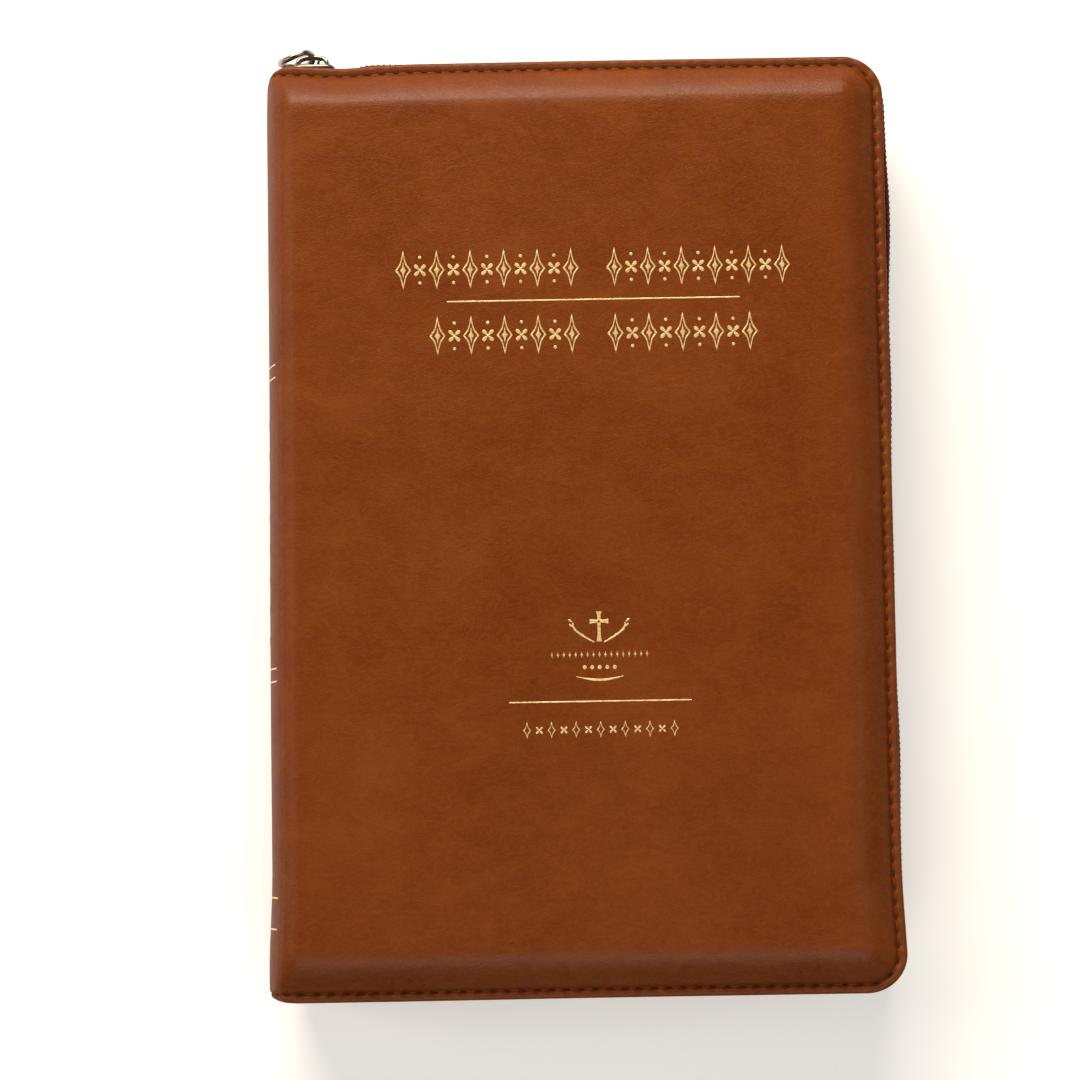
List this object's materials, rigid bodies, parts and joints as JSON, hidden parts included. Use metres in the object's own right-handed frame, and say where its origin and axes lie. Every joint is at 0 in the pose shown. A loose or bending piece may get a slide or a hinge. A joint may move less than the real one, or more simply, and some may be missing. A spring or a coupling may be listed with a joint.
{
  "type": "zip-closed bible",
  "caption": "Thick bible in a padded, stitched leather case that a coil zipper shuts round three sides, with gold ornament on its cover and spine.",
  "frame": {"origin": "middle of the closed covers' outline, rim to spine and tail to head, on the plane of the back cover that the book rests on", "axes": "+Z from the back cover up to the front cover, +Y from the tail to the head of the pages, -X towards the spine"},
  "size_m": [0.1616, 0.2476, 0.0451],
  "materials": {
    "cover_leather": "smooth grained, satin",
    "cover_board": "grey board",
    "lining_cloth": "fine weave",
    "endpaper": "matt",
    "page_paper": "thin, matt",
    "thread": "waxed polyester",
    "zip_tape": "woven",
    "zip_coil": "nylon monofilament",
    "nickel": "gunmetal nickel plate",
    "gold_foil": "stamped foil",
    "band_cloth": "striped weave",
    "mull_cloth": "open weave",
    "ribbon_satin": "satin"
  },
  "bodies": {
    "back_cover": {"back_cover_leather": "cover_leather", "back_cover_board": "cover_board", "back_cover_lining": "lining_cloth", "back_pastedown": "endpaper", "back_cover_stitching": "thread", "back_zip_tape": "zip_tape", "back_zip_coil": "zip_coil", "zip_bottom_stop": "nickel"},
    "book_block": {"text_block_back": "page_paper", "text_block_middle": "page_paper", "text_block_front": "page_paper", "head_band": "band_cloth", "tail_band": "band_cloth", "ribbon_marker": "ribbon_satin", "spine_leather": "cover_leather", "spine_card": "cover_board", "spine_mull": "mull_cloth", "spine_stitching": "thread", "spine_foil": "gold_foil", "head_zip_end_tab": "cover_leather", "tail_zip_end_tab": "cover_leather", "front_hinge_leather": "cover_leather", "back_hinge_leather": "cover_leather"},
    "front_cover": {"front_cover_leather": "cover_leather", "front_cover_board": "cover_board", "front_cover_lining": "lining_cloth", "front_pastedown": "endpaper", "front_cover_stitching": "thread", "front_zip_tape": "zip_tape", "front_zip_coil": "zip_coil", "title_foil": "gold_foil", "lower_foil": "gold_foil"},
    "front_flyleaf": {"front_flyleaf": "endpaper"},
    "presentation_leaf": {"presentation_leaf": "page_paper"},
    "family_record_leaf": {"family_record_leaf": "page_paper"},
    "title_leaf": {"title_leaf": "page_paper"},
    "opening_section": {"opening_section": "page_paper"},
    "back_flyleaf": {"back_flyleaf": "endpaper"},
    "zip_slider": {"slider_body": "nickel"},
    "pull_ring": {"pull_ring": "nickel"},
    "pull_tab": {"pull_tab": "nickel"}
  },
  "joints": [
    {"name": "back_cover_hinge", "type": "hinge", "parent": "back_cover", "child": "book_block", "pos_m": [-0.0727, 0, 0.00358], "axis": [0, -1, 0], "range_deg": [0, 75], "deforming": ["back_hinge_leather", "back_zip_coil"]},
    {"name": "front_cover_hinge", "type": "hinge", "parent": "book_block", "child": "front_cover", "pos_m": [-0.0727, 0, 0.04142], "axis": [0, -1, 0], "range_deg": [0, 178], "deforming": ["front_hinge_leather", "front_zip_coil"]},
    {"name": "front_flyleaf_turn", "type": "hinge", "parent": "book_block", "child": "front_flyleaf", "pos_m": [-0.0727, 0, 0.04142], "axis": [0, -1, 0], "range_deg": [0, 170]},
    {"name": "presentation_leaf_turn", "type": "hinge", "parent": "book_block", "child": "presentation_leaf", "pos_m": [-0.0727, 0, 0.04142], "axis": [0, -1, 0], "range_deg": [0, 163]},
    {"name": "family_record_leaf_turn", "type": "hinge", "parent": "book_block", "child": "family_record_leaf", "pos_m": [-0.0727, 0, 0.04142], "axis": [0, -1, 0], "range_deg": [0, 154]},
    {"name": "title_leaf_turn", "type": "hinge", "parent": "book_block", "child": "title_leaf", "pos_m": [-0.0727, 0, 0.04142], "axis": [0, -1, 0], "range_deg": [0, 143]},
    {"name": "opening_section_turn", "type": "hinge", "parent": "book_block", "child": "opening_section", "pos_m": [-0.0727, 0, 0.04142], "axis": [0, -1, 0], "range_deg": [0, 127]},
    {"name": "back_flyleaf_turn", "type": "hinge", "parent": "back_cover", "child": "back_flyleaf", "pos_m": [-0.0727, 0, 0.00358], "axis": [0, -1, 0], "range_deg": [0, 31]},
    {"name": "zipper_slide", "type": "slide", "parent": "back_cover", "child": "zip_slider", "axis": [1, 0, 0], "range_m": [0, 0.13]},
    {"name": "pull_ring_swing", "type": "hinge", "parent": "zip_slider", "child": "pull_ring", "pos_m": [-0.068, 0.12415, 0.0225], "axis": [0, 0, -1], "range_deg": [0, 90]},
    {"name": "pull_tab_swing", "type": "hinge", "parent": "pull_ring", "child": "pull_tab", "pos_m": [-0.0722, 0.12415, 0.0183], "axis": [1, 0, 0], "range_deg": [0, 110]}
  ],
  "couplings": [
    {"joint": "front_flyleaf_turn", "follows": "front_cover_hinge", "ratio": 0.94},
    {"joint": "presentation_leaf_turn", "follows": "front_cover_hinge", "ratio": 0.9},
    {"joint": "family_record_leaf_turn", "follows": "front_cover_hinge", "ratio": 0.85},
    {"joint": "title_leaf_turn", "follows": "front_cover_hinge", "ratio": 0.79},
    {"joint": "opening_section_turn", "follows": "front_cover_hinge", "ratio": 0.7},
    {"joint": "back_flyleaf_turn", "follows": "back_cover_hinge", "ratio": 0.4}
  ]
}
